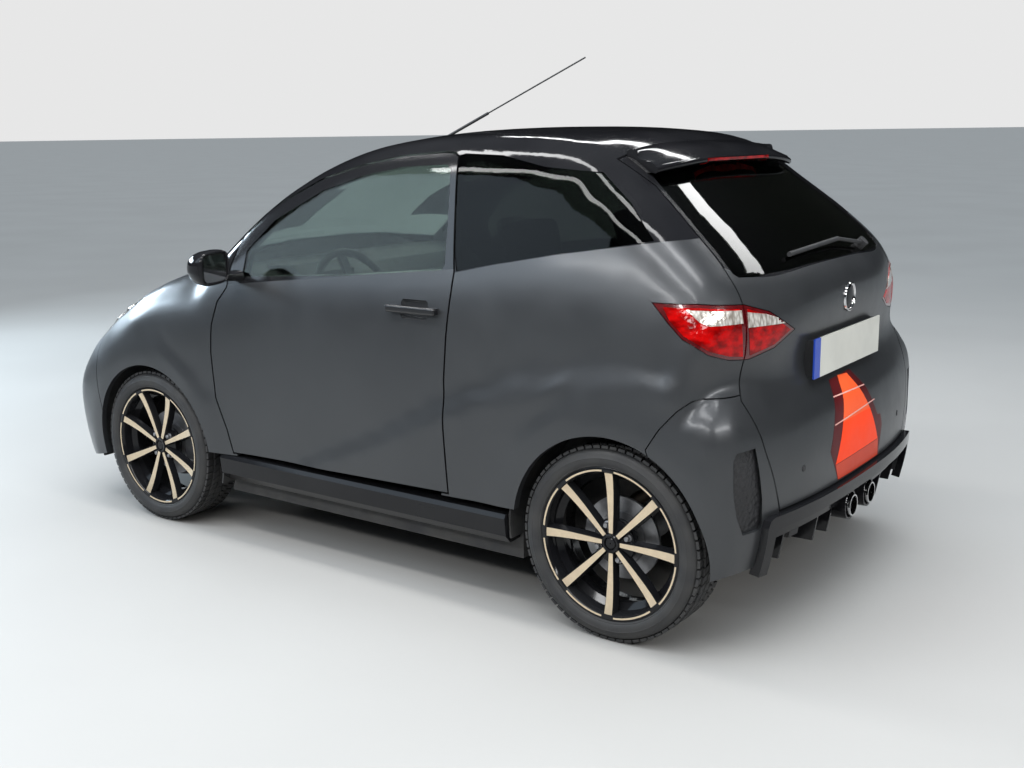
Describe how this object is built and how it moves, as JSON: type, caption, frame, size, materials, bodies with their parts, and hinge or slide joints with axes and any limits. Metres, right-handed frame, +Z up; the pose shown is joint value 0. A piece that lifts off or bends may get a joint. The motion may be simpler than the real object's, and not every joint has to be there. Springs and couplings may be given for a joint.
{
  "type": "microcar",
  "caption": "Two-seat microcar with two side doors, lifting bonnet and tailgate, steered front wheels, roof spoiler and twin central tail pipes.",
  "frame": {"origin": "on the ground under the middle of the outline", "axes": "+X forward along the car, +Y to its left side, +Z up"},
  "size_m": [3.0006, 1.8, 1.6124],
  "materials": {
    "body_paint": "satin",
    "black_gloss": "gloss",
    "black_plastic": "matte",
    "glass_clear": "gloss",
    "glass_tint": "gloss",
    "lamp_red": "gloss",
    "lamp_clear": "gloss",
    "tyre": "matte",
    "alloy": "machined",
    "steel": "satin",
    "underbody": "matte",
    "seat_cloth": "woven",
    "chrome": "polished",
    "plate": "satin"
  },
  "bodies": {
    "body": {"floor_pan": "underbody", "front_wheelhouses": "underbody", "rear_wheelhouses": "underbody", "tow_eye": "underbody", "body_side_left": "body_paint", "body_side_right": "body_paint", "front_wing_left": "body_paint", "front_wing_right": "body_paint", "front_bumper": "body_paint", "grille": "black_plastic", "headlamps": "lamp_clear", "windscreen": "glass_clear", "roof": "black_gloss", "quarter_glasses": "glass_tint", "rear_corners": "body_paint", "rear_diffuser": "black_gloss", "exhaust": "chrome", "side_skirt_left": "black_gloss", "side_skirt_right": "black_gloss", "tail_lamps": "lamp_red", "dashboard": "black_plastic", "seats": "seat_cloth", "engine": "steel", "front_axle": "steel", "rear_axle": "steel", "antenna": "black_plastic"},
    "bonnet": {"bonnet": "body_paint"},
    "tailgate": {"tailgate": "body_paint", "tailgate_glass": "glass_tint", "rear_spoiler": "black_gloss", "tailgate_lamps": "lamp_red", "rear_wiper": "black_plastic", "number_plate": "plate"},
    "door_left": {"door_left": "body_paint", "door_glass_left": "glass_clear", "mirror_left": "black_gloss"},
    "door_right": {"door_right": "body_paint", "door_glass_right": "glass_clear", "mirror_right": "black_gloss"},
    "knuckle_left": {"knuckle_left": "steel"},
    "knuckle_right": {"knuckle_right": "steel"},
    "steering_wheel": {"steering_wheel": "black_plastic"},
    "wheel_front_left": {"tyre_front_left": "tyre", "wheel_front_left": "alloy"},
    "wheel_front_right": {"tyre_front_right": "tyre", "wheel_front_right": "alloy"},
    "wheel_rear_left": {"tyre_rear_left": "tyre", "wheel_rear_left": "alloy"},
    "wheel_rear_right": {"tyre_rear_right": "tyre", "wheel_rear_right": "alloy"}
  },
  "joints": [
    {"name": "door_left_swing", "type": "hinge", "parent": "body", "child": "door_left", "pos_m": [0.581, 0.707, 0.63], "axis": [0, 0, -1], "range_deg": [0, 62]},
    {"name": "door_right_swing", "type": "hinge", "parent": "body", "child": "door_right", "pos_m": [0.581, -0.707, 0.63], "axis": [0, 0, 1], "range_deg": [0, 62]},
    {"name": "bonnet_lift", "type": "hinge", "parent": "body", "child": "bonnet", "pos_m": [0.719, 0, 0.976], "axis": [0, -1, 0], "range_deg": [0, 55]},
    {"name": "tailgate_lift", "type": "hinge", "parent": "body", "child": "tailgate", "pos_m": [-0.942, 0, 1.342], "axis": [0, 1, 0], "range_deg": [0, 78]},
    {"name": "steer_left", "type": "hinge", "parent": "body", "child": "knuckle_left", "pos_m": [0.865, 0.6, 0.2775], "axis": [0, 0, 1], "range_deg": [-30, 30]},
    {"name": "steer_right", "type": "hinge", "parent": "body", "child": "knuckle_right", "pos_m": [0.865, -0.6, 0.2775], "axis": [0, 0, 1], "range_deg": [-30, 30]},
    {"name": "steering_wheel_turn", "type": "hinge", "parent": "body", "child": "steering_wheel", "pos_m": [0.215, 0.325, 0.815], "axis": [-0.9063, 0, 0.4226], "range_deg": [-450, 450]},
    {"name": "wheel_front_left_spin", "type": "hinge", "parent": "knuckle_left", "child": "wheel_front_left", "pos_m": [0.865, 0.6525, 0.2775], "axis": [0, 1, 0], "continuous": true},
    {"name": "wheel_front_right_spin", "type": "hinge", "parent": "knuckle_right", "child": "wheel_front_right", "pos_m": [0.865, -0.6525, 0.2775], "axis": [0, 1, 0], "continuous": true},
    {"name": "wheel_rear_left_spin", "type": "hinge", "parent": "body", "child": "wheel_rear_left", "pos_m": [-1.05, 0.6525, 0.2775], "axis": [0, 1, 0], "continuous": true},
    {"name": "wheel_rear_right_spin", "type": "hinge", "parent": "body", "child": "wheel_rear_right", "pos_m": [-1.05, -0.6525, 0.2775], "axis": [0, 1, 0], "continuous": true}
  ],
  "couplings": [
    {"joint": "steer_right", "follows": "steer_left", "ratio": 1},
    {"joint": "steering_wheel_turn", "follows": "steer_left", "ratio": 15}
  ]
}
